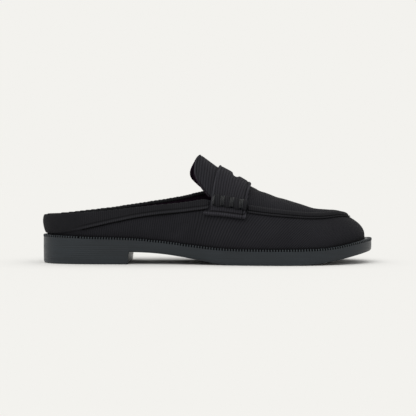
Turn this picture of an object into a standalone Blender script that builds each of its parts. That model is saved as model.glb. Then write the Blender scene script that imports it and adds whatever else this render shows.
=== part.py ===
"""Knit penny loafer mule, right shoe, as separate closed solids.

Metres, +X to the toe, +Y to the inner (medial) side of the foot, +Z up, floor at zero.
The shoe is worked out on its last: one plan outline, one feather line a ledge inside it, and one
skin that climbs from the feather line to the topline and, ahead of the throat, on to the ridge.
"""

import math

import bmesh
import bpy
from mathutils import Vector

MM = 0.001

# Sole
LENGTH = 265.0 * MM
BALL_WIDTH = 90.0 * MM
HEEL_TOP = 22.4 * MM
BALL_TOP = 12.0 * MM
TOE_TOP = 19.6 * MM
SHANK_RISE = 9.4 * MM
TOE_SPRING = 10.2 * MM
HEEL_LENGTH = 70.4 * MM
BREAST_SLOPE = 0.6 * MM
EDGE_ROUND = 1.6 * MM

# Welt lip and insole
LEDGE_SIDE = 3.2 * MM
LEDGE_TOE = 5.6 * MM
LIP_HEIGHT = 2.4 * MM
LIP_ROUND = 0.5 * MM
INSOLE_THICKNESS = 3.0 * MM
INSOLE_ROUND = 0.6 * MM
INSOLE_PLAY = 1.2 * MM

# Upper
WALL = 2.0 * MM
COLLAR_DEPTH = 38.8 * MM
INSTEP_DEPTH = 62.6 * MM
HEEL_LEAN = 1.6 * MM
TOE_LEAN = 18.2 * MM
BELLY = 2.0 * MM
TONGUE_LENGTH = 16.0 * MM
TONGUE_THICKNESS = 2.0 * MM

# Trims
BAND_THICKNESS = 1.0 * MM
RIM_HEIGHT = 7.0 * MM
RIM_THICKNESS = 1.8 * MM
STRAP_WIDTH = 25.5 * MM
STRAP_THICKNESS = 2.2 * MM
SLOT_WIDTH = 4.2 * MM
SLOT_REACH = 11.0 * MM
ROLL_HEIGHT = 8.0 * MM
ROLL_THICKNESS = 3.6 * MM
TAB_REACH = 5.5 * MM

# Clearance between neighbouring pieces
GAP = 0.3 * MM

# Stations along the shoe, as shares of the sole's length from the heel
THROAT = 0.535
STRAP_REAR = 0.505

REAR_COLUMNS = 20
FRONT_COLUMNS = 21
STEP = 1e-3


def turn(along):
    """Share of the half turn from heel to toe that lies at a share of the length."""
    return math.acos(1.0 - 2.0 * along) / math.pi


def table(names, *rows):
    """Rows under named columns, with the place of each row given as its half turn."""
    columns = {name: [row[k] for row in rows] for k, name in enumerate(names.split())}
    columns["turn"] = [turn(share) for share in columns["along"]]
    return columns


# Plan of the sole: shares of the ball width to each side of the heel's middle line
OUTLINE = table(
    "along lateral medial",
    (0.00, 0.000, 0.000),
    (0.03, 0.215, 0.215),
    (0.08, 0.292, 0.292),
    (0.15, 0.326, 0.324),
    (0.25, 0.340, 0.326),
    (0.35, 0.351, 0.306),
    (0.45, 0.390, 0.310),
    (0.55, 0.456, 0.366),
    (0.65, 0.506, 0.440),
    (0.72, 0.521, 0.474),
    (0.80, 0.500, 0.482),
    (0.88, 0.424, 0.430),
    (0.94, 0.322, 0.348),
    (0.98, 0.184, 0.226),
    (1.00, -0.033, 0.033),
)

# Side view of the sole: shares of the heel's and the toe's rise of the top line, and of the
# shank's and the toe's rise of the underside
SOLE_RISE = table(
    "along heel toe shank spring",
    (0.00, 1.00, 0.00, 1.00, 0.00),
    (0.08, 0.94, 0.00, 1.00, 0.00),
    (0.18, 0.84, 0.00, 1.00, 0.00),
    (0.27, 0.79, 0.00, 1.00, 0.00),
    (0.35, 0.62, 0.00, 0.90, 0.00),
    (0.42, 0.40, 0.00, 0.64, 0.00),
    (0.49, 0.17, 0.00, 0.26, 0.00),
    (0.55, 0.04, 0.00, 0.00, 0.00),
    (0.64, 0.00, 0.00, 0.00, 0.00),
    (0.75, 0.00, 0.01, 0.00, 0.00),
    (0.82, 0.00, 0.06, 0.00, 0.08),
    (0.87, 0.00, 0.19, 0.00, 0.27),
    (0.92, 0.00, 0.50, 0.00, 0.54),
    (0.96, 0.00, 0.76, 0.00, 0.76),
    (1.00, 0.00, 1.00, 0.00, 1.00),
)

# Edge where the wall ends: the topline behind the throat and the apron seam ahead of it.
# Half widths are shares of the ball width, heights over the welt are shares of the collar depth,
# toe_lean and heel_lean are shares of those sizes, and tilt is the inward lean in degrees
EDGE = table(
    "along lateral medial low_lateral low_medial heel_lean toe_lean tilt",
    (0.00, 0.000, 0.000, 0.410, 0.415, 1.00, 0.00, 24.0),
    (0.03, 0.192, 0.192, 0.420, 0.425, 0.90, 0.00, 22.0),
    (0.08, 0.262, 0.262, 0.450, 0.465, 0.40, 0.00, 18.0),
    (0.15, 0.290, 0.288, 0.510, 0.540, 0.00, 0.00, 14.0),
    (0.25, 0.297, 0.283, 0.590, 0.645, 0.00, 0.00, 12.0),
    (0.35, 0.297, 0.268, 0.715, 0.800, 0.00, 0.00, 13.0),
    (0.43, 0.304, 0.275, 0.835, 0.960, 0.00, 0.00, 15.0),
    (0.50, 0.318, 0.300, 0.965, 1.125, 0.00, -0.04, 20.0),
    (0.55, 0.328, 0.314, 0.945, 1.070, 0.00, -0.14, 28.0),
    (0.60, 0.330, 0.322, 0.875, 0.950, 0.00, -0.16, 35.0),
    (0.65, 0.318, 0.318, 0.820, 0.860, 0.00, -0.12, 40.0),
    (0.72, 0.294, 0.306, 0.765, 0.790, 0.00, 0.00, 44.0),
    (0.80, 0.252, 0.278, 0.710, 0.725, 0.00, 0.22, 48.0),
    (0.88, 0.188, 0.228, 0.665, 0.675, 0.00, 0.48, 52.0),
    (0.94, 0.118, 0.172, 0.612, 0.620, 0.00, 0.72, 56.0),
    (0.98, 0.048, 0.112, 0.550, 0.554, 0.00, 0.90, 59.0),
    (1.00, -0.040, 0.040, 0.516, 0.516, 0.00, 1.00, 60.0),
)

# Ridge over the instep and the toe: heights over the welt as shares of the instep depth,
# side as a share of the ball width, and ahead as a share of the sole's length
RIDGE = table(
    "along height side ahead",
    (0.00, 1.010, 0.020, 0.028),
    (0.50, 1.010, 0.020, 0.028),
    (0.55, 0.910, 0.024, 0.029),
    (0.60, 0.790, 0.028, 0.029),
    (0.65, 0.706, 0.032, 0.024),
    (0.72, 0.620, 0.038, 0.014),
    (0.80, 0.534, 0.044, -0.004),
    (0.88, 0.459, 0.048, -0.044),
    (0.94, 0.391, 0.048, -0.075),
    (0.98, 0.352, 0.046, -0.104),
    (1.00, 0.336, 0.044, -0.122),
)

# Lower seam of the collar band, as shares of the wall's own height
BAND_SEAM = table(
    "along low",
    (0.00, 0.15),
    (0.06, 0.17),
    (0.11, 0.28),
    (0.15, 0.41),
    (0.20, 0.53),
    (0.26, 0.65),
    (0.34, 0.74),
    (0.42, 0.78),
    (0.50, 0.80),
)

# Free edge of the tongue: how far back it reaches, from the lateral topline (-1) over the ridge
# (0) to the medial topline (1), and how steeply it climbs
TONGUE_EDGE = (
    # across, back, climb
    (-0.97, 0.10, 0.10),
    (-0.85, 0.52, 0.34),
    (-0.70, 0.92, 0.46),
    (-0.50, 1.04, 0.54),
    (-0.25, 1.00, 0.68),
    (0.00, 0.93, 0.74),
    (0.25, 1.01, 0.69),
    (0.50, 1.09, 0.58),
    (0.70, 1.17, 0.46),
    (0.85, 1.10, 0.36),
    (0.97, 0.46, 0.12),
)

# Cross lines of the skin: the wall's from the feather line to its edge, and the plug's on to the
# ridge
WALL_ROWS = (0.0, 0.08, 0.22, 0.38, 0.54, 0.70, 0.85, 1.0)
PLUG_ROWS = (1.14, 1.30, 1.48, 1.66, 1.83, 2.0)
WELT_ROW = WALL_ROWS[1]

# Cross lines of the strap, from the ridge (0) over the apron seam (1) down the wall, past the
# slot's end: the last even one lies under the beef roll, and the others shape the tab below it
ROLL_FOOT = 1.20
TAB_PLACES = (1.24, 1.27, 1.34)
STRAP_COLUMNS = 8
SLOT_COLUMNS = (3, 4)

# Arches of the beef roll and of the apron seam: shares of their thickness from foot to top
ROLL_ARCH = (0.30, 0.74, 0.95, 1.0, 0.95, 0.74, 0.30)
ROLL_BELOW = 0.72
RIM_ARCH = (0.45, 0.85, 1.0, 0.95, 0.5)
RIM_BELOW = 0.9


def through(knots, values, at):
    """Value on the smooth curve through the knots, level past its ends."""
    if at <= knots[0]:
        return values[0]
    if at >= knots[-1]:
        return values[-1]
    last = len(knots) - 1
    low = max(k for k in range(last) if knots[k] <= at)

    def rise(k):
        return (values[k + 1] - values[k]) / (knots[k + 1] - knots[k])

    def slope(k):
        if k == 0:
            return rise(0)
        if k == last:
            return rise(last - 1)
        before = knots[k] - knots[k - 1]
        after = knots[k + 1] - knots[k]
        return (rise(k - 1) * after + rise(k) * before) / (before + after)

    span = knots[low + 1] - knots[low]
    share = (at - knots[low]) / span
    bend = share * share * (3.0 - 2.0 * share)
    leave = share * (1.0 - share) ** 2 * span * slope(low)
    arrive = share * share * (share - 1.0) * span * slope(low + 1)
    return values[low] * (1.0 - bend) + values[low + 1] * bend + leave + arrive


def read(rows, name, half_turn):
    """Value of a named column of a table at a half turn from heel (0) to toe (1)."""
    return through(rows["turn"], rows[name], half_turn)


def unroll(ring):
    """Half turn and side (-1 lateral, 1 medial) of a place on the ring round the shoe.

    The ring runs from the heel (0) along the lateral side to the toe (1) and back to the heel (2).
    """
    ring = ring % 2.0
    if ring <= 1.0:
        return ring, -1.0
    return 2.0 - ring, 1.0


def ring_at(half_turn, side):
    """Place on the ring of a half turn on one side."""
    return half_turn if side < 0 else 2.0 - half_turn


def sole_edge(ring):
    """Plan point of the sole's outline."""
    half_turn, side = unroll(ring)
    share = 0.5 - 0.5 * math.cos(math.pi * half_turn)
    width = read(OUTLINE, "lateral" if side < 0 else "medial", half_turn)
    return Vector((share * LENGTH, side * width * BALL_WIDTH, 0.0))


def outward(ring):
    """Level direction that points out of the sole's outline."""
    along_edge = sole_edge(ring + STEP) - sole_edge(ring - STEP)
    return Vector((along_edge.y, -along_edge.x, 0.0)).normalized()


def inset_edge(ring, inset):
    """Plan point a distance inside the sole's outline."""
    return sole_edge(ring) - outward(ring) * inset


def ledge(half_turn):
    """Width of the welt that shows outside the upper."""
    share = max(0.0, (half_turn - 0.7) / 0.3)
    return LEDGE_SIDE + (LEDGE_TOE - LEDGE_SIDE) * share * share * (3.0 - 2.0 * share)


def welt_top(half_turn):
    """Height of the line where the upper meets the welt."""
    heel = (HEEL_TOP - BALL_TOP) * read(SOLE_RISE, "heel", half_turn)
    toe = (TOE_TOP - BALL_TOP) * read(SOLE_RISE, "toe", half_turn)
    return BALL_TOP + heel + toe


def sole_top(half_turn):
    """Height of the outsole's bed, inside the welt lip."""
    return welt_top(half_turn) - LIP_HEIGHT


def underside(half_turn):
    """Height of the outsole's lower face: heel on the floor, arch, ball, toe spring."""
    if half_turn < turn(HEEL_LENGTH / LENGTH):
        return 0.0
    shank = SHANK_RISE * read(SOLE_RISE, "shank", half_turn)
    spring = TOE_SPRING * read(SOLE_RISE, "spring", half_turn)
    return max(0.0, shank) + max(0.0, spring)


def bezier(start, leave, arrive, end, share):
    """Point on a cubic curve."""
    rest = 1.0 - share
    near = start * rest ** 3 + leave * (3.0 * share * rest ** 2)
    return near + arrive * (3.0 * share ** 2 * rest) + end * share ** 3


def wall_edge(half_turn, side):
    """Point where the wall ends, and the direction in which it arrives there."""
    ring = ring_at(half_turn, side)
    foot = inset_edge(ring, ledge(half_turn))
    width = read(EDGE, "lateral" if side < 0 else "medial", half_turn)
    low = read(EDGE, "low_lateral" if side < 0 else "low_medial", half_turn)
    lean = TOE_LEAN * read(EDGE, "toe_lean", half_turn)
    lean += HEEL_LEAN * read(EDGE, "heel_lean", half_turn)
    height = welt_top(half_turn) + low * COLLAR_DEPTH
    tilt = math.radians(read(EDGE, "tilt", half_turn))
    arrive = Vector((0.0, 0.0, math.cos(tilt))) - outward(ring) * math.sin(tilt)
    return Vector((foot.x - lean, side * width * BALL_WIDTH, height)), arrive


def ridge_point(half_turn):
    """Point of the ridge that belongs to a column of the skin."""
    share = 0.5 - 0.5 * math.cos(math.pi * half_turn)
    ahead = share + read(RIDGE, "ahead", half_turn)
    side = read(RIDGE, "side", half_turn) * BALL_WIDTH
    height = welt_top(half_turn) + read(RIDGE, "height", half_turn) * INSTEP_DEPTH
    return Vector((ahead * LENGTH, side, height))


def over_ridge(half_turn, side):
    """Level direction in which the skin leaves the ridge: sideways, but forwards at the toe."""
    start = turn(0.86)
    share = max(0.0, (half_turn - start) / (1.0 - start))
    angle = 0.5 * math.pi * share
    return Vector((math.sin(angle), side * math.cos(angle), 0.0))


def skin(ring, row):
    """Outer face of the upper.

    Row 0 is the feather line, 1 the topline or the apron seam, 2 the ridge, and past 2 the skin
    comes down on the other side.
    """
    if row > 2.0:
        return skin(2.0 - ring % 2.0, 4.0 - row)
    half_turn, side = unroll(ring)
    edge, arrive = wall_edge(half_turn, side)
    if row > 1.0:
        ridge = ridge_point(half_turn)
        reach = (ridge - edge).length
        leave = edge + arrive * 0.35 * reach
        turned = ridge + over_ridge(half_turn, side) * 0.4 * reach
        return bezier(edge, leave, turned, ridge, row - 1.0)
    foot = inset_edge(ring, ledge(half_turn))
    foot.z = sole_top(half_turn) + GAP
    shoulder = foot + Vector((0.0, 0.0, LIP_HEIGHT + GAP))
    if row <= WELT_ROW:
        return foot.lerp(shoulder, row / WELT_ROW)
    reach = (edge - shoulder).length
    leave = shoulder + Vector((0.0, 0.0, 0.38 * reach)) + outward(ring) * BELLY
    share = (row - WELT_ROW) / (1.0 - WELT_ROW)
    return bezier(shoulder, leave, edge - arrive * 0.34 * reach, edge, share)


def skin_normal(ring, row, top=4.0):
    """Direction out of the skin; top is the last row that the skin has there."""
    above = min(row + STEP, top)
    below = max(row - STEP, 0.0)
    forward = skin(ring + STEP, row) - skin(ring - STEP, row)
    if row > 2.0:
        forward = -forward
    upward = skin(ring, above) - skin(ring, below)
    return forward.cross(upward).normalized()


def over_skin(ring, row, lift, top=4.0):
    """Point a distance outside the skin."""
    return skin(ring, row) + skin_normal(ring, row, top) * lift


def even_turns(start, end, count):
    """Half turns that cut the sole's edge between two of them into equal lengths."""
    fine = 240
    turns = [start + (end - start) * k / fine for k in range(fine + 1)]
    lengths = [0.0]
    for low, high in zip(turns, turns[1:]):
        lengths.append(lengths[-1] + (sole_edge(high) - sole_edge(low)).length)
    chosen = [start]
    for k in range(1, count):
        goal = lengths[-1] * k / count
        at = max(j for j in range(fine) if lengths[j] <= goal)
        share = (goal - lengths[at]) / (lengths[at + 1] - lengths[at])
        chosen.append(turns[at] + (turns[at + 1] - turns[at]) * share)
    return chosen + [end]


def middle_of_shoe():
    """Middle of the shoe's box in plan, which becomes the origin."""
    rings = [k / 100.0 for k in range(200)]
    lateral = min(sole_edge(ring).y for ring in rings)
    medial = max(sole_edge(ring).y for ring in rings)
    back = min(over_skin(0.0, row / 20.0, GAP + BAND_THICKNESS, 1.0).x for row in range(21))
    return Vector(((min(0.0, back) + LENGTH) / 2.0, (lateral + medial) / 2.0, 0.0))


def clear_scene():
    """Take every object out of the file."""
    for thing in list(bpy.data.objects):
        bpy.data.objects.remove(thing, do_unlink=True)


def finish_of(name, colour, roughness):
    """Principled material of one finish."""
    material = bpy.data.materials.new(name)
    material.use_nodes = True
    shader = material.node_tree.nodes["Principled BSDF"]
    shader.inputs["Base Color"].default_value = (*colour, 1.0)
    shader.inputs["Roughness"].default_value = roughness
    shader.inputs["Metallic"].default_value = 0.0
    return material


def piece(name, points, faces, material, group, middle):
    """Object of a mesh, with its box's middle as the origin of the shoe."""
    mesh = bpy.data.meshes.new(name)
    mesh.from_pydata([tuple(point - middle) for point in points], [], faces)
    mesh.validate()
    shape = bmesh.new()
    shape.from_mesh(mesh)
    bmesh.ops.recalc_face_normals(shape, faces=shape.faces)
    shape.to_mesh(mesh)
    shape.free()
    mesh.shade_smooth()
    mesh.set_sharp_from_angle(angle=math.radians(40.0))
    made = bpy.data.objects.new(name, mesh)
    made.data.materials.append(material)
    group.objects.link(made)
    return made


def thicken(sheet, thickness, outwards):
    """Give an open sheet its wall, inwards or outwards of its faces."""
    wall = sheet.modifiers.new("wall", "SOLIDIFY")
    wall.thickness = thickness
    wall.offset = 1.0 if outwards else -1.0
    wall.use_quality_normals = True


def face_out(sheet, sample, direction):
    """Turn an open sheet's faces so that they look along the direction at a sample point."""
    nearest = min(sheet.data.polygons, key=lambda face: (face.center - sample).length)
    if nearest.normal.dot(direction) < 0.0:
        sheet.data.flip_normals()


def net(columns, rows):
    """Faces of a net of points that is listed column by column."""
    return [
        (c * rows + r, (c + 1) * rows + r, (c + 1) * rows + r + 1, c * rows + r + 1)
        for c in range(columns - 1)
        for r in range(rows - 1)
    ]


def ring_solid(name, turns, ring_points, material, group, middle):
    """Closed loft of level rings, capped across from side to side.

    ring_points gives the plan and height of each ring at a half turn and a side.
    """
    count = len(turns) - 1
    stations = [(half_turn, -1.0) for half_turn in turns]
    stations += [(half_turn, 1.0) for half_turn in reversed(turns[1:-1])]
    points = []
    for half_turn, side in stations:
        points.extend(ring_points(half_turn, side))
    rows = len(points) // len(stations)
    total = len(stations)
    faces = []
    for k in range(total):
        near = k * rows
        far = (k + 1) % total * rows
        for r in range(rows - 1):
            faces.append((near + r, far + r, far + r + 1, near + r + 1))
    for r in (0, rows - 1):
        for k in range(count):
            corners = [k, k + 1, (total - k - 1) % total, (total - k) % total]
            distinct = list(dict.fromkeys(corners))
            faces.append(tuple(corner * rows + r for corner in distinct))
    return piece(name, points, faces, material, group, middle)


def build_outsole(material, group, middle):
    """Moulded sole: heel, arch, toe spring and the lip round the upper's foot in one."""
    breast = HEEL_LENGTH / LENGTH
    behind = turn(breast - STEP)
    ahead = turn(breast + BREAST_SLOPE / LENGTH)
    turns = even_turns(0.0, behind, REAR_COLUMNS // 2 + 2)
    turns += even_turns(ahead, 1.0, REAR_COLUMNS // 2 + FRONT_COLUMNS)

    def side_of_sole(half_turn, side):
        ring = ring_at(half_turn, side)
        top = sole_top(half_turn)
        low = underside(half_turn)
        lip = welt_top(half_turn)
        inner = ledge(half_turn) - GAP
        profile = (
            (inner, top),
            (inner, lip),
            (LIP_ROUND, lip),
            (0.0, lip - LIP_ROUND),
            (0.0, (lip + low) / 2.0),
            (0.0, low + EDGE_ROUND),
            (0.3 * EDGE_ROUND, low + 0.3 * EDGE_ROUND),
            (EDGE_ROUND, low),
        )
        points = []
        for inset, height in profile:
            place = inset_edge(ring, inset)
            place.z = height
            points.append(place)
        return points

    return ring_solid("outsole", turns, side_of_sole, material, group, middle)


def build_insole(material, group, middle):
    """Sock that lies on the sole inside the upper."""
    turns = even_turns(0.0, 1.0, 30)

    def side_of_insole(half_turn, side):
        ring = ring_at(half_turn, side)
        inset = ledge(half_turn) + WALL + INSOLE_PLAY
        low = sole_top(half_turn) + GAP
        high = low + INSOLE_THICKNESS
        points = []
        for more, height in ((0.0, low), (0.0, high - INSOLE_ROUND), (INSOLE_ROUND, high)):
            place = inset_edge(ring, inset + more)
            place.z = height
            points.append(place)
        return points

    return ring_solid("insole", turns, side_of_insole, material, group, middle)


def build_upper(material, group, middle):
    """Hollow knit shell: a wall round the whole shoe, closed over the toe up to the throat."""
    throat = turn(THROAT)
    turns = even_turns(0.0, throat, REAR_COLUMNS)[:-1] + even_turns(throat, 1.0, FRONT_COLUMNS)
    rings = turns + [2.0 - half_turn for half_turn in reversed(turns[1:-1])]
    points = []
    index = {}
    for ring in rings:
        for row in WALL_ROWS:
            index[ring, row] = len(points)
            points.append(skin(ring, row))
    for half_turn in turns[REAR_COLUMNS:]:
        for side in (-1.0, 1.0) if half_turn < 1.0 else (-1.0,):
            ring = ring_at(half_turn, side)
            for row in PLUG_ROWS:
                index[ring, row] = len(points)
                points.append(skin(ring, row))
            if side > 0:
                points.pop()
                index[ring, PLUG_ROWS[-1]] = index[half_turn, PLUG_ROWS[-1]]
    faces = []
    plug_rows = WALL_ROWS[-1:] + PLUG_ROWS
    for near, far in zip(rings, rings[1:] + rings[:1]):
        levels = list(zip(WALL_ROWS, WALL_ROWS[1:]))
        if (near, 2.0) in index and (far, 2.0) in index and near != far:
            levels += zip(plug_rows, plug_rows[1:])
        for low, high in levels:
            faces.append((index[near, low], index[far, low], index[far, high], index[near, high]))
    upper = piece("upper", points, faces, material, group, middle)
    face_out(upper, skin(0.5, 0.5) - middle, skin_normal(0.5, 0.5))
    thicken(upper, WALL, False)
    return upper


def build_collar_band(material, group, middle):
    """Ribbed band on the wall from the strap round the heel to the strap."""
    rear = turn(STRAP_REAR - 1.5 * GAP / LENGTH - 0.004)
    turns = even_turns(0.0, rear, REAR_COLUMNS)
    rings = [2.0 - half_turn for half_turn in reversed(turns[1:])] + turns
    rows = 5
    points = []
    for ring in rings:
        half_turn, side = unroll(ring)
        low = read(BAND_SEAM, "low", half_turn)
        for k in range(rows):
            row = low + (1.0 - low) * k / (rows - 1)
            points.append(over_skin(ring, row, GAP, 1.0))
    band = piece("collar_band", points, net(len(rings), rows), material, group, middle)
    face_out(band, skin(0.3, 0.9) - middle, skin_normal(0.3, 0.9, 1.0))
    thicken(band, BAND_THICKNESS, True)
    return band


def strap_columns(count):
    """Half turns across the strap's width, from its rear edge to its front edge."""
    rear = turn(STRAP_REAR)
    front = turn(STRAP_REAR + STRAP_WIDTH / LENGTH)
    return [rear + (front - rear) * k / (count - 1) for k in range(count)]


def cross_ring(half_turn, across):
    """Ring and row of a place across the instep, from lateral (-) over the ridge (0)."""
    side = -1.0 if across < 0 else 1.0
    return ring_at(half_turn, side), 2.0 - abs(across)


def build_tongue(material, group, middle):
    """Flap that runs on from under the strap and stands up behind it."""
    across_places = [-0.97 + 1.94 * k / 20 for k in range(21)]
    knots = [row[0] for row in TONGUE_EDGE]
    backs = [row[1] for row in TONGUE_EDGE]
    climbs = [row[2] for row in TONGUE_EDGE]
    start = turn(THROAT - GAP / LENGTH - 0.001)
    rear = turn(STRAP_REAR)
    points = []
    for across in across_places:
        for k in range(3):
            half_turn = start + (rear - start) * k / 2
            ring, row = cross_ring(half_turn, across)
            points.append(skin(ring, row))
        back = through(knots, backs, across) * TONGUE_LENGTH
        climb = through(knots, climbs, across)
        foot = points[-1]
        for k in range(1, 5):
            share = k / 4
            points.append(foot + Vector((-back * share, 0.0, back * climb * share)))
    tongue = piece("tongue", points, net(len(across_places), 7), material, group, middle)
    face_out(tongue, skin(rear, 2.0) - middle, Vector((0.4, 0.0, 1.0)))
    thicken(tongue, TONGUE_THICKNESS, False)
    return tongue


def bead_solid(name, stations, places, heights, lift, material, group, middle):
    """Rounded strip on the skin: sections whose foot follows the skin and whose back is arched.

    stations are half turns with sides, places are rows across the strip at a station, and
    heights are the thicknesses at those places.
    """
    points = []
    count = len(heights)
    for station in stations:
        rows = places(station)
        for (ring, row), height in zip(rows, heights):
            points.append(over_skin(ring, row, lift))
        for (ring, row), height in reversed(list(zip(rows, heights))):
            points.append(over_skin(ring, row, lift + height))
    total = 2 * count
    faces = []
    for k in range(len(stations) - 1):
        for r in range(total):
            up = (r + 1) % total
            near = k * total
            far = near + total
            faces.append((near + r, far + r, far + up, near + up))
    for start in (0, (len(stations) - 1) * total):
        for r in range(count - 1):
            mirror = total - 1 - r
            faces.append((start + r, start + r + 1, start + mirror - 1, start + mirror))
    return piece(name, points, faces, material, group, middle)


def build_apron_rim(material, group, middle):
    """Raised seam that runs from the strap round the toe and back to the strap."""
    front = turn(STRAP_REAR + (STRAP_WIDTH + 3.0 * GAP) / LENGTH)
    turns = even_turns(front, 1.0, FRONT_COLUMNS + 3)
    rings = turns + [2.0 - half_turn for half_turn in reversed(turns[:-1])]
    last = len(RIM_ARCH) - 1

    def rows_of_rim(ring):
        edge = skin(ring, 1.0)
        foot = skin(ring, WELT_ROW)
        share = RIM_HEIGHT / (edge - foot).length
        return [(ring, 1.0 + share * (k / last - RIM_BELOW)) for k in range(last + 1)]

    heights = [RIM_THICKNESS * part for part in RIM_ARCH]
    return bead_solid("apron_rim", rings, rows_of_rim, heights, GAP, material, group, middle)


def build_strap(material, group, middle):
    """Saddle over the instep, with the slot across its middle and a tab at each end."""
    instep = (skin(turn(0.55), 2.0) - skin(turn(0.55), 1.0)).length
    slot_end = SLOT_REACH / (1.12 * instep)
    half = [slot_end * k / 3 for k in range(3)]
    half += [slot_end + (ROLL_FOOT - slot_end) * k / 8 for k in range(9)]
    half += TAB_PLACES
    places = [-across for across in reversed(half[1:])] + half
    turns = strap_columns(STRAP_COLUMNS)
    centre = (turns[0] + turns[-1]) / 2.0
    turn_of_length = (turns[-1] - turns[0]) / STRAP_WIDTH
    points = []
    for across in places:
        rest = min(1.0, abs(across) / slot_end)
        wide = SLOT_WIDTH * (0.4 + 0.6 * math.sqrt(1.0 - rest * rest))
        for k, half_turn in enumerate(turns):
            if k == 0 and abs(across) > TAB_PLACES[0]:
                half_turn -= TAB_REACH * turn_of_length
            if k == SLOT_COLUMNS[0]:
                half_turn = centre - 0.5 * wide * turn_of_length
            if k == SLOT_COLUMNS[1]:
                half_turn = centre + 0.5 * wide * turn_of_length
            ring, row = cross_ring(half_turn, across)
            points.append(over_skin(ring, row, GAP))
    faces = []
    for c in range(len(places) - 1):
        in_slot = abs(places[c] + places[c + 1]) / 2.0 < slot_end
        for r in range(STRAP_COLUMNS - 1):
            if in_slot and r == SLOT_COLUMNS[0]:
                continue
            first = c * STRAP_COLUMNS + r
            after = first + STRAP_COLUMNS
            faces.append((first, after, after + 1, first + 1))
    strap = piece("strap", points, faces, material, group, middle)
    face_out(strap, skin(turns[1], 1.5) - middle, skin_normal(turns[1], 1.5))
    thicken(strap, STRAP_THICKNESS, True)
    return strap


def build_beef_roll(name, side, material, group, middle):
    """Thread-bound roll over one end of the strap."""
    turns = strap_columns(9)
    inset = (turns[-1] - turns[0]) * 0.02
    turns[0] += inset
    turns[-1] -= inset
    rings = [ring_at(half_turn, side) for half_turn in turns]
    last = len(ROLL_ARCH) - 1

    def rows_of_roll(ring):
        edge = skin(ring, 1.0)
        foot = skin(ring, WELT_ROW)
        share = ROLL_HEIGHT / (edge - foot).length
        return [(ring, 1.0 + share * (k / last - ROLL_BELOW)) for k in range(last + 1)]

    heights = [ROLL_THICKNESS * part for part in ROLL_ARCH]
    lift = 2.0 * GAP + STRAP_THICKNESS
    return bead_solid(name, rings, rows_of_roll, heights, lift, material, group, middle)


def main():
    """Build every piece of the shoe."""
    clear_scene()
    shoe = bpy.data.collections.new("loafer_mule")
    bpy.context.scene.collection.children.link(shoe)
    rubber = finish_of("sole_rubber", (0.036, 0.042, 0.050), 0.5)
    knit = finish_of("upper_knit", (0.013, 0.013, 0.016), 0.85)
    band_knit = finish_of("band_knit", (0.012, 0.012, 0.015), 0.85)
    lining = finish_of("lining", (0.010, 0.009, 0.012), 0.9)
    middle = middle_of_shoe()
    build_outsole(rubber, shoe, middle)
    build_insole(lining, shoe, middle)
    build_upper(knit, shoe, middle)
    build_tongue(knit, shoe, middle)
    build_collar_band(band_knit, shoe, middle)
    build_apron_rim(band_knit, shoe, middle)
    build_strap(band_knit, shoe, middle)
    build_beef_roll("beef_roll_lateral", -1.0, band_knit, shoe, middle)
    build_beef_roll("beef_roll_medial", 1.0, band_knit, shoe, middle)


main()
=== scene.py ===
"""Looks of a black knit penny loafer mule, right shoe, on a pale floor."""

import math

import bpy
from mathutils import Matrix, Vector
from mathutils.bvhtree import BVHTree


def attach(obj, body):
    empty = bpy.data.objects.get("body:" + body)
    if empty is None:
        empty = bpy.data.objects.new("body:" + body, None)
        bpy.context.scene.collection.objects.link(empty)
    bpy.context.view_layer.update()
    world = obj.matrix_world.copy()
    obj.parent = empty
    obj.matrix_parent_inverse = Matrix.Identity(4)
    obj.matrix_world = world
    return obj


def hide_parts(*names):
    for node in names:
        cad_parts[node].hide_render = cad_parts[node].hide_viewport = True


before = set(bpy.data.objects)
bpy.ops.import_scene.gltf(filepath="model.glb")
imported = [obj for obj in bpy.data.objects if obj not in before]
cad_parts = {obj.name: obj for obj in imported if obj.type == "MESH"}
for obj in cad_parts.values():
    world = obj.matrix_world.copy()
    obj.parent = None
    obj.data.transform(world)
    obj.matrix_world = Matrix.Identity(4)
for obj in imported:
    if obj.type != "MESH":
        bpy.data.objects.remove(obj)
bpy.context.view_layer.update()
bpy.ops.object.select_all(action="DESELECT")

MM = 0.001

# The sole
# One moulded unit of blue-grey rubber: heel, arch, forepart and the lip round the upper's foot.
# It has a satin skin, and its sides keep the fine lines of the mould, closest on the heel.
HEEL_CENTRE = Vector((-101.0 * MM, 1.7 * MM, 0.0))
TOE_CENTRE = Vector((84.0 * MM, 1.7 * MM, 0.0))
WRAP_RADIUS = 46.0 * MM
STRAIGHT = TOE_CENTRE.x - HEEL_CENTRE.x
QUARTER = 0.5 * math.pi * WRAP_RADIUS
WRAP_LENGTH = 4.0 * QUARTER + 2.0 * STRAIGHT


def wrap_place(point):
    """Distance round the shoe from the back of the heel, by the outer side, to a point."""
    if point.x > TOE_CENTRE.x:
        angle = math.atan2(point.y - TOE_CENTRE.y, point.x - TOE_CENTRE.x)
        return QUARTER + STRAIGHT + (angle + 0.5 * math.pi) * WRAP_RADIUS
    if point.x < HEEL_CENTRE.x:
        angle = math.atan2(point.y - HEEL_CENTRE.y, point.x - HEEL_CENTRE.x)
        if angle < 0.0:
            return (angle + math.pi) * WRAP_RADIUS
        return 3.0 * QUARTER + 2.0 * STRAIGHT + (angle - 0.5 * math.pi) * WRAP_RADIUS
    if point.y < HEEL_CENTRE.y:
        return QUARTER + point.x - HEEL_CENTRE.x
    return 3.0 * QUARTER + STRAIGHT + TOE_CENTRE.x - point.x


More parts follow.
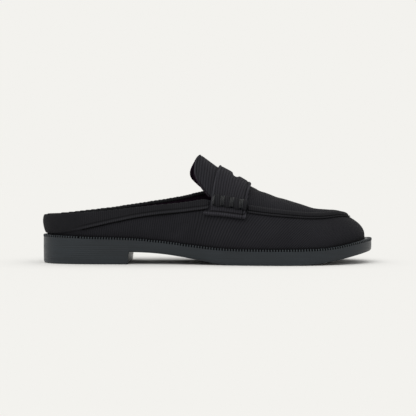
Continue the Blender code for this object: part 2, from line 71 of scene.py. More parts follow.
def wrap_ray(place):
    """Point on the shoe's middle line and the level direction outwards, at a wrap distance."""
    place = place % WRAP_LENGTH
    if place < QUARTER:
        angle = place / WRAP_RADIUS - math.pi
        return HEEL_CENTRE, Vector((math.cos(angle), math.sin(angle), 0.0))
    if place < QUARTER + STRAIGHT:
        return HEEL_CENTRE + Vector((place - QUARTER, 0.0, 0.0)), Vector((0.0, -1.0, 0.0))
    if place < 3.0 * QUARTER + STRAIGHT:
        angle = (place - QUARTER - STRAIGHT) / WRAP_RADIUS - 0.5 * math.pi
        return TOE_CENTRE, Vector((math.cos(angle), math.sin(angle), 0.0))
    if place < 3.0 * QUARTER + 2.0 * STRAIGHT:
        along = place - 3.0 * QUARTER - STRAIGHT
        return TOE_CENTRE - Vector((along, 0.0, 0.0)), Vector((0.0, 1.0, 0.0))
    angle = (place - 3.0 * QUARTER - 2.0 * STRAIGHT) / WRAP_RADIUS + 0.5 * math.pi
    return HEEL_CENTRE, Vector((math.cos(angle), math.sin(angle), 0.0))


def add_wrap_map(piece):
    """UV map in metres: across is the distance round the shoe, up is the height."""
    mesh = piece.data
    layer = mesh.uv_layers.new(name="wrap")
    mesh.uv_layers.active = layer
    for face in mesh.polygons:
        first = None
        for loop in face.loop_indices:
            point = mesh.vertices[mesh.loops[loop].vertex_index].co
            across = wrap_place(point)
            first = across if first is None else first
            if across - first > 0.5 * WRAP_LENGTH:
                across -= WRAP_LENGTH
            elif first - across > 0.5 * WRAP_LENGTH:
                across += WRAP_LENGTH
            layer.data[loop].uv = (across, point.z)


def only(piece):
    """Make a piece the active and only selected one."""
    bpy.ops.object.select_all(action="DESELECT")
    piece.select_set(True)
    bpy.context.view_layer.objects.active = piece


def soften(node, name, levels, rounding=0.0):
    """Smooth, finer copy of a solid, merged back into one skin of four-sided faces."""
    only(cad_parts[node])
    bpy.ops.object.duplicate()
    piece = bpy.context.object
    piece.name = name
    piece.data.name = name
    piece.modifiers.clear()
    bpy.ops.object.mode_set(mode="EDIT")
    bpy.ops.mesh.select_all(action="SELECT")
    bpy.ops.mesh.remove_doubles(threshold=0.00002)
    bpy.ops.mesh.tris_convert_to_quads(face_threshold=1.2, shape_threshold=1.2)
    bpy.ops.object.mode_set(mode="OBJECT")
    if rounding:
        rounded = piece.modifiers.new("rounded", "BEVEL")
        rounded.width = rounding
        rounded.segments = 2
        rounded.limit_method = "ANGLE"
        rounded.angle_limit = math.radians(34.0)
        bpy.ops.object.modifier_apply(modifier=rounded.name)
    finer = piece.modifiers.new("finer", "SUBSURF")
    finer.levels = levels
    finer.render_levels = levels
    bpy.ops.object.modifier_apply(modifier=finer.name)
    bpy.ops.object.shade_smooth()
    return piece


def settle(piece, node):
    """Let a piece stand for its solid and ride with the shoe."""
    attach(piece, "root")
    if node:
        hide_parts(node)


def dress(piece, *finishes):
    """Give a piece its finishes, first one first."""
    piece.data.materials.clear()
    for finish in finishes:
        piece.data.materials.append(finish)


def new_material(name):
    """Material with its Principled shader, and a function that adds and joins nodes."""
    material = bpy.data.materials.new(name)
    material.use_nodes = True
    tree = material.node_tree
    shader = tree.nodes["Principled BSDF"]

    def add(kind, inputs=(), **settings):
        node = tree.nodes.new(kind)
        for key, value in settings.items():
            setattr(node, key, value)
        for key, value in dict(inputs).items():
            if isinstance(value, bpy.types.NodeSocket):
                tree.links.new(value, node.inputs[key])
            else:
                node.inputs[key].default_value = value
        return node

    def maths(operation, first, second=0.0, third=0.0):
        return add("ShaderNodeMath", {0: first, 1: second, 2: third}, operation=operation).outputs[0]

    def spread(value, low, high, new_low, new_high):
        inputs = {0: value, 1: low, 2: high, 3: new_low, 4: new_high}
        return add("ShaderNodeMapRange", inputs).outputs[0]

    return material, tree, shader, add, maths, spread


def rubber(name, colour, line_pitch, line_depth, tread=False):
    """Satin moulded rubber with fine level mould lines and a soft cloudy tone."""
    material, tree, shader, add, maths, spread = new_material(name)
    place = add("ShaderNodeTexCoord").outputs["Object"]
    parts = add("ShaderNodeSeparateXYZ", {0: place})
    wander = add("ShaderNodeTexNoise", {"Vector": place, "Scale": 18.0, "Detail": 2.0})
    drawn = add("ShaderNodeVectorMath", {0: place, 1: (26.0, 26.0, 1100.0)}, operation="MULTIPLY")
    strokes = add("ShaderNodeTexNoise", {"Vector": drawn.outputs[0], "Scale": 1.0, "Detail": 3.0})
    height = maths("ADD", parts.outputs["Z"], maths("MULTIPLY", wander.outputs[0], 0.0008))
    run = parts.outputs["X"] if tread else height
    lines = maths("SINE", maths("MULTIPLY", run, 2.0 * math.pi / line_pitch))
    behind = spread(parts.outputs["X"], -0.035, -0.075, 0.2, 0.8)
    lines = lines if tread else maths("MULTIPLY", lines, behind)
    grain = add("ShaderNodeTexNoise", {"Vector": place, "Scale": 1600.0, "Detail": 3.0})
    relief = maths("ADD", lines, maths("MULTIPLY", grain.outputs[0], 0.5))
    relief = maths("ADD", relief, maths("MULTIPLY", strokes.outputs[0], 2.2))
    bump = add("ShaderNodeBump", {"Height": relief, "Strength": 0.5, "Distance": line_depth})
    tree.links.new(bump.outputs[0], shader.inputs["Normal"])
    cloud = add("ShaderNodeTexNoise", {"Vector": place, "Scale": 40.0, "Detail": 4.0})
    tone = maths("ADD", spread(cloud.outputs[0], 0.3, 0.7, 0.84, 1.16), maths("MULTIPLY", lines, 0.06))
    tone = maths("ADD", tone, spread(strokes.outputs[0], 0.3, 0.7, -0.2, 0.2))
    base = add("ShaderNodeVectorMath", {0: colour, "Scale": tone}, operation="SCALE")
    tree.links.new(base.outputs[0], shader.inputs["Base Color"])
    tree.links.new(spread(strokes.outputs[0], 0.3, 0.7, 0.36, 0.50), shader.inputs["Roughness"])
    shader.inputs["Specular IOR Level"].default_value = 0.32
    return material


sole_rubber = rubber("sole_rubber_satin", (0.0100, 0.0138, 0.0178), 1.5 * MM, 0.07 * MM)
tread_rubber = rubber("tread_rubber", (0.0090, 0.0120, 0.0150), 2.6 * MM, 0.7 * MM, True)
sole = soften("outsole", "sole_unit", 1, 0.45 * MM)
dress(sole, sole_rubber, tread_rubber)
for face in sole.data.polygons:
    if face.normal.z < -0.9:
        face.material_index = 1
settle(sole, "outsole")

# The welt bars
# The lip's top edge is cut by short notches that leave a row of raised bars, like the marks of a
# stitch wheel, a little over two millimetres apart. They show as small teeth at the upper's foot: the bars
# take a lighter copy of the sole's rubber as a painted highlight, and a dark cord behind them is painted
# shade in the notches.
BAR_PITCH = 2.15 * MM
BAR_SIZE = (3.1 * MM, 1.2 * MM, 2.3 * MM)
BAR_OUT = 0.22 * MM
BAR_UP = 0.45 * MM
REACH = 0.2
UP = Vector((0.0, 0.0, 1.0))


def tree_of(piece):
    """Search tree of a piece's surface."""
    points = [vertex.co.copy() for vertex in piece.data.vertices]
    return BVHTree.FromPolygons(points, [tuple(face.vertices) for face in piece.data.polygons])


def outer_hit(tree, place, height):
    """Outermost point on a surface at a wrap distance and a height, and its normal."""
    start, out = wrap_ray(place)
    start = Vector((start.x, start.y, height))
    return tree.ray_cast(start + out * REACH, -out, REACH)[:2]


def top_hit(tree, place, low, high):
    """Highest point on the outer face of a surface at a wrap distance."""
    best = None
    steps = int((high - low) / (0.5 * MM))
    for k in range(steps + 1):
        point = outer_hit(tree, place, low + 0.5 * MM * k)[0]
        best = point if point is not None else best
    return best


def bars(name, frames, size):
    """One mesh of small rounded bars; each frame is a middle and its long, wide and up axes."""
    bpy.ops.mesh.primitive_cube_add(size=1.0)
    seed = bpy.context.object
    bpy.ops.object.mode_set(mode="EDIT")
    bpy.ops.mesh.select_all(action="SELECT")
    bpy.ops.mesh.bevel(offset=0.24, segments=2, affect="EDGES")
    bpy.ops.object.mode_set(mode="OBJECT")
    points = [vertex.co.copy() for vertex in seed.data.vertices]
    faces = [tuple(face.vertices) for face in seed.data.polygons]
    bpy.data.objects.remove(seed)
    all_points = []
    all_faces = []
    for middle, long_axis, wide_axis, up_axis in frames:
        first = len(all_points)
        for point in points:
            moved = middle + long_axis * (point.x * size[0]) + wide_axis * (point.y * size[1])
            all_points.append(moved + up_axis * (point.z * size[2]))
        all_faces += [tuple(first + corner for corner in face) for face in faces]
    mesh = bpy.data.meshes.new(name)
    mesh.from_pydata(all_points, [], all_faces)
    piece = bpy.data.objects.new(name, mesh)
    bpy.context.scene.collection.objects.link(piece)
    only(piece)
    bpy.ops.object.shade_smooth()
    return piece


sole_tree = tree_of(sole)
LIP_STEPS = 360
lip_heights = []
for step in range(LIP_STEPS + 1):
    spot = top_hit(sole_tree, WRAP_LENGTH * step / LIP_STEPS, 9.0 * MM, 23.0 * MM)
    start, out = wrap_ray(WRAP_LENGTH * step / LIP_STEPS)
    lip_heights.append(sole_tree.ray_cast(spot - out * (1.5 * MM) + UP * 0.02, -UP, 0.04)[0].z)
beside = [lip_heights[-3:-1] + lip_heights[:3]]
for step in range(1, LIP_STEPS + 1):
    beside.append([lip_heights[(step + shift) % LIP_STEPS] for shift in (-2, -1, 0, 1, 2)])
lip_heights = [sorted(five)[2] for five in beside]


def top_of_lip(point):
    """Height of the sole's lip beside a point."""
    share = wrap_place(point) / WRAP_LENGTH % 1.0 * LIP_STEPS
    low = int(share)
    return lip_heights[low] + (lip_heights[low + 1] - lip_heights[low]) * (share - low)


def cord(name, path, radius, closed=False):
    """Round cord along a path of points."""
    curve = bpy.data.curves.new(name, "CURVE")
    curve.dimensions = "3D"
    curve.bevel_depth = radius
    curve.bevel_resolution = 3
    curve.use_fill_caps = True
    spline = curve.splines.new("POLY")
    spline.points.add(len(path) - 1)
    for point, spot in zip(spline.points, path):
        point.co = (*spot, 1.0)
    spline.use_cyclic_u = closed
    made = bpy.data.objects.new(name, curve)
    bpy.context.scene.collection.objects.link(made)
    only(made)
    bpy.ops.object.convert(target="MESH")
    bpy.ops.object.shade_smooth()
    return bpy.context.object


notch_shadow_path = []
bar_frames = []
place = 0.0
while place < WRAP_LENGTH:
    start, out = wrap_ray(place)
    edge = outer_hit(sole_tree, place, top_of_lip(start + out * WRAP_RADIUS) - 2.5 * MM)[0]
    corner = Vector((edge.x, edge.y, top_of_lip(edge)))
    middle = corner + out * (BAR_OUT - 0.5 * BAR_SIZE[0]) + UP * (BAR_UP - 0.5 * BAR_SIZE[2])
    bar_frames.append((middle, out, UP.cross(out), UP))
    notch_shadow_path.append(corner - out * (0.85 * MM) - UP * (0.62 * MM))
    away = math.hypot(edge.x - start.x, edge.y - start.y)
    place += BAR_PITCH * (WRAP_RADIUS / away if start in (HEEL_CENTRE, TOE_CENTRE) else 1.0)
ticks = bars("welt_bars", bar_frames, BAR_SIZE)
# Lighter copy of the sole's rubber for the bars: painted highlight on the teeth.
lit_bar_rubber = rubber("lit_bar_rubber", (0.018, 0.023, 0.028), 1.5 * MM, 0.03 * MM)
dress(ticks, lit_bar_rubber)
settle(ticks, None)

# Dark cord along the lip's edge behind the bars: painted shade in the notches between them.
notch_shade, tree, shader, add, maths, spread = new_material("notch_shade")
shader.inputs["Base Color"].default_value = (0.0015, 0.0018, 0.0022, 1.0)
shader.inputs["Roughness"].default_value = 0.9
shader.inputs["Specular IOR Level"].default_value = 0.04
notch_shadow = cord("welt_notch_shadow", notch_shadow_path[:-1], 1.0 * MM, True)
dress(notch_shadow, notch_shade)
settle(notch_shadow, None)

# The insole
# A thin foam sock faced with dark knit, glued on the sole inside the upper.


def carve(piece, shape_at):
    """Move each point along its normal, and note a painted light level for it.

    shape_at gives the distance outwards and the painted light level: 1 leaves the colour as it is, 0 is full
    painted shade in a seam, and above 1 is a painted highlight.
    """
    mesh = piece.data
    layer = mesh.attributes.new("open", "FLOAT", "POINT")
    normals = [vertex.normal.copy() for vertex in mesh.vertices]
    for k, vertex in enumerate(mesh.vertices):
        push, painted_light = shape_at(vertex.co, normals[k])
        vertex.co = vertex.co + normals[k] * push
        layer.data[k].value = painted_light


def plain(point, normal):
    """Shape of a piece that is left as it is."""
    return 0.0, 1.0


def dip(distance, width):
    """Smooth bell: 1 at no distance, 0 from the width on."""
    share = min(1.0, abs(distance) / width)
    return (1.0 - share * share) ** 2


def over_instep(point):
    """Place over the instep, from the outer side (0) over the ridge to the inner side (1)."""
    return math.atan2(point.z - 25.0 * MM, -(point.y - 1.7 * MM)) / math.pi


INSTEP_GIRTH = math.pi * 45.0 * MM


def add_over_map(piece):
    """UV map in metres for what lies across the instep: along the foot, and over it."""
    mesh = piece.data
    layer = mesh.uv_layers.new(name="wrap")
    mesh.uv_layers.active = layer
    for loop, place in zip(mesh.loops, layer.data):
        point = mesh.vertices[loop.vertex_index].co
        place.uv = (point.x, over_instep(point) * INSTEP_GIRTH)


def knit(name, dark, bright, pitch, course, slant, depth, on_plug=False):
    """Knit of small V stitches in upright ribs that slant towards the toe."""
    material, tree, shader, add, maths, spread = new_material(name)
    place = add("ShaderNodeTexCoord").outputs["Object"]
    parts = add("ShaderNodeSeparateXYZ", {0: place})
    if on_plug:
        across, up = parts.outputs["X"], parts.outputs["Y"]
    else:
        sides = add("ShaderNodeSeparateXYZ", {0: add("ShaderNodeUVMap", uv_map="wrap").outputs[0]})
        across, up = sides.outputs["X"], sides.outputs["Y"]
    lean = spread(parts.outputs["X"], -0.010, 0.080, 0.15 * slant, slant)
    wander = add("ShaderNodeTexNoise", {"Vector": place, "Scale": 90.0, "Detail": 3.0})
    shift = maths("MULTIPLY", wander.outputs[0], 0.0012)
    run = maths("ADD", maths("SUBTRACT", across, maths("MULTIPLY", up, lean)), shift)
    wale = maths("MULTIPLY", maths("PINGPONG", maths("DIVIDE", run, pitch), 0.5), 2.0)
    rib = maths("SUBTRACT", 1.0, maths("MULTIPLY", wale, wale))
    rows = maths("ADD", maths("DIVIDE", maths("ADD", up, shift), course), maths("MULTIPLY", wale, 0.6))
    leg = maths("MULTIPLY", maths("PINGPONG", rows, 0.5), 2.0)
    stitch = maths("SUBTRACT", 1.0, maths("MULTIPLY", leg, leg))
    fuzz = add("ShaderNodeTexNoise", {"Vector": place, "Scale": 2600.0, "Detail": 3.0})
    relief = maths("ADD", maths("MULTIPLY", rib, 0.55), maths("MULTIPLY", stitch, 0.30))
    relief = maths("ADD", relief, maths("MULTIPLY", fuzz.outputs[0], 0.50))
    bump = add("ShaderNodeBump", {"Height": relief, "Strength": 0.8, "Distance": depth})
    tree.links.new(bump.outputs[0], shader.inputs["Normal"])
    # Painted shade and highlight: the colour runs from the dark colour in the stitch grooves to the bright
    # colour on the ribs, following the relief.
    light = spread(relief, 0.15, 1.25, 0.0, 1.0)
    cloud = add("ShaderNodeTexNoise", {"Vector": place, "Scale": 34.0, "Detail": 3.0})
    tone = spread(cloud.outputs[0], 0.3, 0.7, 0.88, 1.12)
    # Painted light level stored by carve: below 1 paints shade into seams and grooves, above 1 paints
    # highlights on folds and ridges.
    painted_light = add("ShaderNodeAttribute", attribute_name="open").outputs["Fac"]
    tone = maths("MULTIPLY", tone, painted_light)
    inputs = {"Factor": light, 6: (*dark, 1.0), 7: (*bright, 1.0)}
    mixed = add("ShaderNodeMix", inputs, data_type="RGBA").outputs[2]
    base = add("ShaderNodeVectorMath", {0: mixed, "Scale": tone}, operation="SCALE")
    tree.links.new(base.outputs[0], shader.inputs["Base Color"])
    shader.inputs["Roughness"].default_value = 0.85
    shader.inputs["Specular IOR Level"].default_value = 0.06
    shader.inputs["Sheen Weight"].default_value = 0.015
    shader.inputs["Sheen Roughness"].default_value = 0.45
    return material


# Plum lining colour in the painted shade of the grooves, and with the painted highlight of the ribs.
SHADED_PLUM = (0.0035, 0.0015, 0.0040)
LIT_PLUM = (0.013, 0.006, 0.013)
lining = knit("lining_knit", SHADED_PLUM, LIT_PLUM, 1.2 * MM, 1.0 * MM, 0.0, 0.15 * MM)
insole = soften("insole", "insole_sock", 1)
carve(insole, plain)
dress(insole, lining)
add_wrap_map(insole)
settle(insole, "insole")

# The upper
# One shell of dense black knit, shaped on the last: a wall round the whole foot and a plug over
# the toes. Its ribs stand upright at the side and slant over the toe, and it is lined in plum.
# Black yarn colour in the painted shade of the grooves, and with the painted highlight of the ribs.
SHADED_YARN = (0.0008, 0.0008, 0.0012)
LIT_YARN = (0.0208, 0.0208, 0.0250)
COURSE = 0.9 * MM
wall_knit = knit("wall_knit", SHADED_YARN, LIT_YARN, 1.7 * MM, COURSE, 0.95, 0.36 * MM)
plug_knit = knit("plug_knit", SHADED_YARN, LIT_YARN, 1.7 * MM, COURSE, 0.0, 0.30 * MM, True)
upper = soften("upper", "upper_shell", 2)

# Soft folds of the wall, drawn in side view: ends, half width and depth in millimetres
FOLDS = (
    # side, start x, start z, end x, end z, width, depth
    (-1, -12.0, 36.0, -26.0, 25.0, 5.0, 0.55),
    (-1, -30.0, 40.0, -52.0, 30.0, 7.0, 0.35),
    (-1, 33.0, 34.0, 44.0, 26.0, 5.0, 0.45),
    (-1, 52.0, 33.0, 70.0, 27.0, 8.0, 0.40),
    (-1, 8.0, 27.0, 30.0, 22.0, 6.0, 0.40),
    (1, -10.0, 38.0, -24.0, 26.0, 5.0, 0.50),
    (1, 34.0, 36.0, 48.0, 27.0, 6.0, 0.45),
    (1, 60.0, 33.0, 80.0, 27.0, 8.0, 0.40),
)
# Soft folds of the plug, drawn from above
PLUG_FOLDS = (
    # start x, start y, end x, end y, width, depth
    (41.0, -20.0, 44.0, 20.0, 4.5, 0.45),
    (52.0, -24.0, 57.0, 8.0, 6.0, 0.35),
    (74.0, 22.0, 86.0, 2.0, 7.0, 0.35),
)


def from_line(across, up, x0, y0, x1, y1):
    """Distance of a place from a straight stretch, in one flat view."""
    line = (x1 - x0, y1 - y0)
    share = ((across - x0) * line[0] + (up - y0) * line[1]) / (line[0] ** 2 + line[1] ** 2)
    share = max(0.0, min(1.0, share))
    return math.hypot(across - x0 - share * line[0], up - y0 - share * line[1])


def folds_at(point, normal):
    """Depth of the upper's soft folds at a point."""
    x, y, z = point / MM
    push = 0.0
    if abs(normal.y) > 0.35:
        for side, x0, z0, x1, z1, width, depth in FOLDS:
            if side * normal.y > 0.0:
                push -= depth * dip(from_line(x, z, x0, z0, x1, z1), width)
    if normal.z > 0.5 and x > 36.0:
        for x0, y0, x1, y1, width, depth in PLUG_FOLDS:
            push -= depth * dip(from_line(x, y, x0, y0, x1, y1), width)
    return push * MM


rim_tree = tree_of(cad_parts["apron_rim"])
PLUG_CENTRE = Vector((60.0 * MM, 3.5 * MM, 0.0))
SPOKES = 72
rim_reach = []
for step in range(SPOKES):
    angle = 2.0 * math.pi * step / SPOKES
    aim = Vector((math.cos(angle), math.sin(angle), 0.0))
    hits = []
    for height in range(34, 52):
        origin = Vector((PLUG_CENTRE.x, PLUG_CENTRE.y, height * MM))
        found = rim_tree.ray_cast(origin, aim, REACH)[0]
        if found is not None:
            hits.append((found - origin).length)
    rim_reach.append(min(hits) if hits else 35.0 * MM)


def inside_rim(point):
    """True for a point of the plug, inside the raised rim in plan."""
    offset = point - PLUG_CENTRE
    turn = math.atan2(offset.y, offset.x) / (2.0 * math.pi) % 1.0
    low = int(turn * SPOKES) % SPOKES
    reach = max(rim_reach[low], rim_reach[(low + 1) % SPOKES]) + 1.5 * MM
    return math.hypot(offset.x, offset.y) < reach and point.z > 36.0 * MM


def upper_shape(point, normal):
    """Folds of the upper, and a line of painted shade where it meets the sole."""
    above = point.z - top_of_lip(point)
    return folds_at(point, normal), 1.0 - 0.55 * dip(above, 2.4 * MM)


carve(upper, upper_shape)
dress(upper, wall_knit, plug_knit, lining)
add_wrap_map(upper)
for face in upper.data.polygons:
    middle = face.center
    start, out = wrap_ray(wrap_place(middle))
    away = Vector((middle.x - start.x, middle.y - start.y, max(0.0, middle.z - 30.0 * MM)))
    if inside_rim(middle):
        face.material_index = 1 if face.normal.z > 0.0 else 2
    elif face.normal.dot(away) < 0.0:
        face.material_index = 2
settle(upper, "upper")

# The tongue
# The plug's own knit runs on under the strap and stands up behind it as a soft flap, with its free
# edge turned in to the plum lining.
tongue = soften("tongue", "tongue_flap", 3)


def edge_table(piece, key, value, bins, keep):
    """Extreme value of a piece's points in each bin of a key that runs from 0 to 1."""
    found = [None] * bins
    for vertex in piece.data.vertices:
        at = min(bins - 1, max(0, int(key(vertex.co) * bins)))
        amount = value(vertex.co)
        if amount is not None:
            found[at] = amount if found[at] is None else keep(found[at], amount)
    return found


def read_edge(table, share):
    """Value between the bins of an edge table."""
    at = max(0.0, min(len(table) - 1.0, share * len(table) - 0.5))
    low = int(at)
    high = min(low + 1, len(table) - 1)
    first = table[low] if table[low] is not None else table[high]
    second = table[high] if table[high] is not None else first
    return first + (second - first) * (at - low)


tongue_rear = edge_table(tongue, over_instep, lambda point: point.x, 50, min)


def tongue_shape(point, normal):
    """A turned edge, two millimetres wide, with a painted highlight, and a soft hollow in the middle with
    painted shade.
    """
    inside = (point.x - read_edge(tongue_rear, over_instep(point))) / 0.8
    push = 0.30 * dip(inside - 0.8 * MM, 1.6 * MM) - 0.30 * dip(inside - 2.6 * MM, 0.7 * MM)
    painted_light = 1.0 + 0.5 * dip(inside - 0.8 * MM, 1.0 * MM) - 0.45 * dip(inside - 2.6 * MM, 0.8 * MM)
    return push * MM, painted_light


carve(tongue, tongue_shape)
saddle_knit = knit("saddle_knit", SHADED_YARN, (0.0290, 0.0285, 0.0345), 1.7 * MM, COURSE, 0.35, 0.34 * MM)
dress(tongue, saddle_knit, lining)
add_over_map(tongue)
for face in tongue.data.polygons:
    if face.normal.x * 0.5 + face.normal.z < -0.05 or face.normal.z < -0.1:
        face.material_index = 1
settle(tongue, "tongue")

# The collar band
# A fine ribbed band, folded over the topline and sewn to the wall along a seam that falls from
# the strap to the heel, where it covers nearly the whole wall. Its topline is a soft roll.
band_knit = knit("band_knit", SHADED_YARN, (0.0188, 0.0188, 0.0218), 1.6 * MM, COURSE, 0.0, 0.30 * MM)
# Colours of the thin dark cords that paint the shadow under the band's lower edge.
SHADOW_CORD_DARK = (0.0003, 0.0003, 0.0004)
SHADOW_CORD_BRIGHT = (0.0010, 0.0010, 0.0012)
shadow_knit = knit("shadow_knit", SHADOW_CORD_DARK, SHADOW_CORD_BRIGHT, 1.6 * MM, COURSE, 0.0, 0.1 * MM)
band = soften("collar_band", "collar_ribbing", 3)
band_low = edge_table(band, lambda p: wrap_place(p) / WRAP_LENGTH, lambda p: p.z, 240, min)


def band_shape(point, normal):
    """A folded hem at the lower edge with a painted highlight on its crest and painted shade in the groove
    above it, flattened out round the heel.
    """
    above = point.z - read_edge(band_low, wrap_place(point) / WRAP_LENGTH)
    strength = max(0.0, min(1.0, (point.x + 108.0 * MM) / (14.0 * MM)))
    push = 0.42 * dip(above - 0.9 * MM, 1.5 * MM) - 0.22 * dip(above - 2.7 * MM, 0.8 * MM)
    painted_light = 0.7 * dip(above - 0.9 * MM, 1.0 * MM) - 0.45 * dip(above - 2.7 * MM, 0.8 * MM)
    return strength * push * MM, 1.0 + strength * painted_light


carve(band, band_shape)
dress(band, band_knit)
add_wrap_map(band)
settle(band, "collar_band")


band_tree = tree_of(band)
TOPLINE_FRONT = -2.0 * MM
front_place = QUARTER + TOPLINE_FRONT - HEEL_CENTRE.x
topline = []
hem_line = []
for step in range(-150, 151):
    place = front_place * step / 150
    start, out = wrap_ray(place)
    top = top_hit(band_tree, place, 20.0 * MM, 60.0 * MM)
    topline.append(top - out * (1.55 * MM) - UP * (1.25 * MM))
    low = read_edge(band_low, place / WRAP_LENGTH % 1.0)
    under = outer_hit(band_tree, place, low + 0.6 * MM)[0]
    if under is not None and under.x > -98.0 * MM:
        hem_line.append((step, under - out * (0.9 * MM) - UP * (1.0 * MM)))
roll = cord("topline_roll", topline, 1.75 * MM)
carve(roll, plain)
dress(roll, band_knit)
add_wrap_map(roll)
settle(roll, None)
# Two thin dark cords along the band's lower edge, one on each side of the shoe: painted shadow in the gap
# under the band.
for name, side in (("band_shadow_cord_outer", 1), ("band_shadow_cord_inner", -1)):
    shadow_cord = cord(name, [spot for step, spot in hem_line if step * side > 0], 0.5 * MM)
    carve(shadow_cord, plain)
    dress(shadow_cord, shadow_knit)
    add_wrap_map(shadow_cord)
    settle(shadow_cord, None)

# The apron rim
# The wall and the plug are pinched together into a raised seam that runs round the toe: a broad
# ribbed band, and under it a thin bead between two dark lines. The dark lines are painted shade, the upper
# one in a groove, and the band's top and the bead carry painted highlights.
rim = soften("apron_rim", "apron_seam", 3)


def round_plug(point):
    """Place round the plug's middle, from 0 to 1."""
    offset = point - PLUG_CENTRE
    return math.atan2(offset.y, offset.x) / (2.0 * math.pi) % 1.0


rim_low = edge_table(rim, round_plug, lambda point: point.z, 120, min)
rim_high = edge_table(rim, round_plug, lambda point: point.z, 120, max)


def rim_shape(point, normal):
    """Band above, groove, then a thin bead at the lower edge, with painted shade in the groove, along the
    lower edge and on the inner face, and painted highlights on the band's top and the bead.
    """
    share = round_plug(point)
    low = read_edge(rim_low, share)
    high = read_edge(rim_high, share)
    offset = point - PLUG_CENTRE
    if normal.dot(Vector((offset.x, offset.y, 0.02))) < 0.0:
        return 0.0, 0.9
    up = (point.z - low) / (high - low)
    toe = max(0.0, min(1.0, (point.x - 92.0 * MM) / (20.0 * MM)))
    push = 0.25 * dip(up - 0.18, 0.18) - 0.75 * dip(up - 0.37, 0.10) + 0.2 * dip(up - 0.75, 0.3)
    push -= 0.9 * toe * toe * (1.0 - 0.5 * up)
    painted_light = 1.0 + 0.35 * dip(up - 0.9, 0.12) + 0.3 * dip(up - 0.18, 0.12)
    return push * MM, painted_light - 0.8 * dip(up - 0.37, 0.09) - 0.65 * dip(up, 0.07)


carve(rim, rim_shape)
dress(rim, band_knit)
add_wrap_map(rim)
settle(rim, "apron_rim")

# The strap
# A saddle of doubled knit over the instep, with a lens-shaped slot across its middle, a folded
# front edge, a creased rear edge and a rolled hem under each end.
strap = soften("strap", "saddle_strap", 3)


def along_end(point):
    """Place along the strap's lower ends: the outer end in the first half, the inner in the last."""
    share = (point.x + 5.0 * MM) / (43.0 * MM)
    share = max(0.0, min(0.999, share)) * 0.5
    return share if point.y < 0.0 else share + 0.5


strap_front = edge_table(strap, over_instep, lambda point: point.x, 70, max)
strap_rear = edge_table(strap, over_instep, lambda point: point.x, 70, min)
strap_low = edge_table(strap, along_end, lambda point: point.z, 64, min)


def strap_shape(point, normal):
    """Hem lines along the front and the rear edge, and a roll along each lower end, with painted highlights
    on the front fold, the rear ridge and the rolls, and painted shade in the front groove, in the groove
    above each roll and on the inner face.
    """
    if normal.dot(Vector((0.0, point.y - 1.7 * MM, point.z - 25.0 * MM))) < 0.0:
        return 0.0, 0.9
    share = over_instep(point)
    front = (read_edge(strap_front, share) - point.x) / 0.9
    rear = (point.x - read_edge(strap_rear, share)) / 0.9
    low = point.z - read_edge(strap_low, along_end(point))
    push = 0.25 * dip(front - 0.9 * MM, 1.3 * MM) - 0.5 * dip(front - 2.6 * MM, 0.8 * MM)
    painted_light = 1.0 - 0.6 * dip(front - 2.6 * MM, 0.7 * MM) + 0.6 * dip(front - 0.9 * MM, 1.0 * MM)
    if point.z > 46.0 * MM:
        push += 0.7 * dip(rear - 0.9 * MM, 1.5 * MM) - 0.15 * dip(rear - 2.6 * MM, 1.0 * MM)
        painted_light += 0.6 * dip(rear - 0.9 * MM, 1.1 * MM)
    if point.z < 46.0 * MM:
        push += 0.75 * dip(low - 1.5 * MM, 1.8 * MM) - 0.55 * dip(low - 3.7 * MM, 0.9 * MM)
        painted_light += 0.4 * dip(low - 2.0 * MM, 1.0 * MM)
        painted_light *= 1.0 - 0.7 * dip(low - 3.7 * MM, 0.8 * MM)
    return push * MM, painted_light


carve(strap, strap_shape)
dress(strap, saddle_knit)
add_over_map(strap)
settle(strap, "strap")

# The beef rolls
# The strap's ends are drawn in to a rope and bound with four loops, each of three turns of thick
# waxed thread, which swell the rope between them.
LOOPS = (4.4 * MM, 11.7 * MM, 18.9 * MM, 26.1 * MM)
THREAD_RADIUS = 0.55 * MM
THREAD_PITCH = 1.05 * MM
LOOP_LEAN = -0.5 * MM

thread_wax, tree, shader, add, maths, spread = new_material("waxed_thread")
place = add("ShaderNodeTexCoord").outputs["Object"]
twist = {"Vector": place, "Scale": 420.0, "Distortion": 1.5}
ply = add("ShaderNodeTexWave", twist, bands_direction="DIAGONAL")
bump = add("ShaderNodeBump", {"Height": ply.outputs[1], "Strength": 0.5, "Distance": 0.12 * MM})
tree.links.new(bump.outputs[0], shader.inputs["Normal"])
shader.inputs["Base Color"].default_value = (0.006, 0.007, 0.009, 1.0)
shader.inputs["Roughness"].default_value = 0.28
shader.inputs["Specular IOR Level"].default_value = 0.34


def roll_shape(point, normal):
    """The rope swells between the loops of thread, with a painted highlight on the swells and painted shade
    under the loops.
    """
    squeeze = sum(dip(point.x - middle, 3.0 * MM) for middle in LOOPS)
    return (0.45 - 1.05 * squeeze) * MM, 1.15 - 0.45 * squeeze


def thread_path(tree, points, middle, side):
    """Half turn of thread over a roll, from its lower edge to its upper one."""
    near = [point for point in points if abs(point.x - middle) < 2.0 * MM]
    centre = sum(near, Vector()) / len(near)
    out = Vector((0.0, side, 0.35)).normalized()
    up = Vector((1.0, 0.0, 0.0)).cross(out) * side
    path = []
    for k in range(-9, 10):
        angle = math.radians(11.5 * k)
        aim = out * math.cos(angle) - up * math.sin(angle)
        start = centre + Vector((LOOP_LEAN * k / 9.0, 0.0, 0.0)) + aim * 0.02
        found = tree.ray_cast(start, -aim, 0.02)[0]
        if found is not None:
            path.append(found + aim * (0.3 * THREAD_RADIUS))
    return path


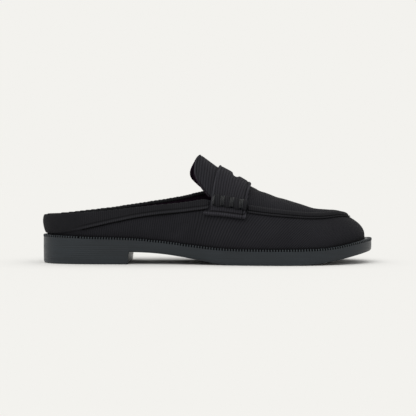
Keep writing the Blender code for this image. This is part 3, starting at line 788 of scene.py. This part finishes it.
for node, name, side in (("beef_roll_lateral", "roll_outer", -1.0), ("beef_roll_medial", "roll_inner", 1.0)):
    rope = soften(node, name, 3)
    carve(rope, roll_shape)
    dress(rope, band_knit)
    add_wrap_map(rope)
    settle(rope, node)
    rope_tree = tree_of(rope)
    points = [vertex.co.copy() for vertex in rope.data.vertices]
    threads = []
    for middle in LOOPS:
        for k in (-1, 0, 1):
            path = thread_path(rope_tree, points, middle + k * THREAD_PITCH, side)
            threads.append(cord(name + "_thread", path, THREAD_RADIUS))
    bpy.ops.object.select_all(action="DESELECT")
    for thread in threads:
        thread.select_set(True)
    bpy.context.view_layer.objects.active = threads[0]
    bpy.ops.object.join()
    bound = bpy.context.object
    bound.name = name + "_threads"
    dress(bound, thread_wax)
    settle(bound, None)

# The floor, the light and the camera
# A pale seamless floor that runs into a backdrop of the same tone, under soft light from all round
# and a broad soft sun over the viewer's left shoulder. Away from the shoe the floor glows with painted light
# that fills in the shoe's broad shadow, leaving a thin contact shadow; its colour is dimmed where it glows.
# It is seen level from the outer side.
BACKDROP = (0.896, 0.887, 0.855)
SUN_SHARE = 0.35
CAMERA_DISTANCE = 0.862
CAMERA_HEIGHT = 0.062
CAMERA_ASIDE = 0.0006
PIXELS = 416
FOCAL_PIXELS = 1070.0
HORIZON_PIXEL = 185.0
FLOOR_SHIFT = 20.0

bpy.ops.mesh.primitive_plane_add(size=60.0, location=(0.0, FLOOR_SHIFT, 0.0))
floor = bpy.context.object
floor.name = "floor"
paper, tree, shader, add, maths, spread = new_material("floor_paper")
albedo = 1.004 / (1.0 + SUN_SHARE)
place = add("ShaderNodeTexCoord").outputs["Object"]
parts = add("ShaderNodeSeparateXYZ", {0: place})
nearest = maths("MINIMUM", maths("MAXIMUM", parts.outputs["X"], HEEL_CENTRE.x), TOE_CENTRE.x)
aside = maths("SUBTRACT", parts.outputs["X"], nearest)
deep = maths("ADD", parts.outputs["Y"], FLOOR_SHIFT)
away = maths("SQRT", maths("ADD", maths("MULTIPLY", aside, aside), maths("MULTIPLY", deep, deep)))
# Painted glow: from 4 cm to 8.5 cm from the shoe's middle line the floor begins to emit the backdrop tone,
# painting out the shoe's shadow, and its colour is lowered to match.
painted_glow = spread(away, 0.040, 0.085, 0.0, 0.72)
grey = maths("MULTIPLY", maths("SUBTRACT", 1.0, painted_glow), albedo)
tint = add("ShaderNodeCombineColor", {0: grey, 1: grey, 2: grey})
tree.links.new(tint.outputs[0], shader.inputs["Base Color"])
shader.inputs["Emission Color"].default_value = (*BACKDROP, 1.0)
tree.links.new(painted_glow, shader.inputs["Emission Strength"])
shader.inputs["Roughness"].default_value = 1.0
shader.inputs["Specular IOR Level"].default_value = 0.0
dress(floor, paper)

world = bpy.data.worlds.new("studio")
world.use_nodes = True
world.node_tree.nodes["Background"].inputs["Color"].default_value = (*BACKDROP, 1.0)
world.node_tree.nodes["Background"].inputs["Strength"].default_value = 1.0
bpy.context.scene.world = world
bpy.context.scene.view_settings.view_transform = "Standard"

sun_data = bpy.data.lights.new("soft_sun", "SUN")
sun_aim = Vector((0.35, 0.65, -1.0)).normalized()
sun_data.energy = math.pi * SUN_SHARE / -sun_aim.z
sun_data.color = BACKDROP
sun_data.angle = math.radians(50.0)
sun = bpy.data.objects.new("soft_sun", sun_data)
sun.rotation_euler = sun_aim.to_track_quat("-Z", "Y").to_euler()
bpy.context.scene.collection.objects.link(sun)

camera_data = bpy.data.cameras.new("camera")
camera_data.sensor_width = 36.0
camera_data.lens = 36.0 * FOCAL_PIXELS / PIXELS
camera = bpy.data.objects.new("camera", camera_data)
camera.location = (CAMERA_ASIDE, -CAMERA_DISTANCE, CAMERA_HEIGHT)
pitch = math.atan((0.5 * PIXELS - HORIZON_PIXEL) / FOCAL_PIXELS)
camera.rotation_euler = (0.5 * math.pi - pitch, 0.0, 0.0)
bpy.context.scene.collection.objects.link(camera)
bpy.context.scene.camera = camera
